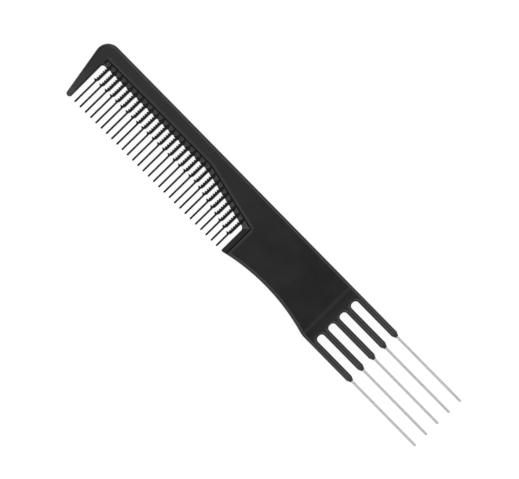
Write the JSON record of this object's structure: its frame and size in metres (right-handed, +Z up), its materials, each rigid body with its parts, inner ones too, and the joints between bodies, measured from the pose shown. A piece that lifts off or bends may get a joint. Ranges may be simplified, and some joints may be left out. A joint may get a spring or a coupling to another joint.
{
  "type": "teasing comb",
  "caption": "Flat one-piece comb with barbed teasing teeth and a guard tooth at one end and a row of long straight metal lift pins at the other.",
  "frame": {"origin": "on the surface that the comb lies on, under the middle of its bounding box", "axes": "+X along the comb to the pin tips, +Y to the spine (the teeth point to -Y), +Z up out of the flat face"},
  "size_m": [0.2, 0.0278, 0.004],
  "materials": {
    "moulded_body": "satin black carbon-filled moulding",
    "steel_pins": "drawn and polished stainless steel"
  },
  "bodies": {
    "root": {"comb_body": "moulded_body", "lift_pin_1": "steel_pins", "lift_pin_2": "steel_pins", "lift_pin_3": "steel_pins", "lift_pin_4": "steel_pins", "lift_pin_5": "steel_pins"}
  },
  "joints": []
}
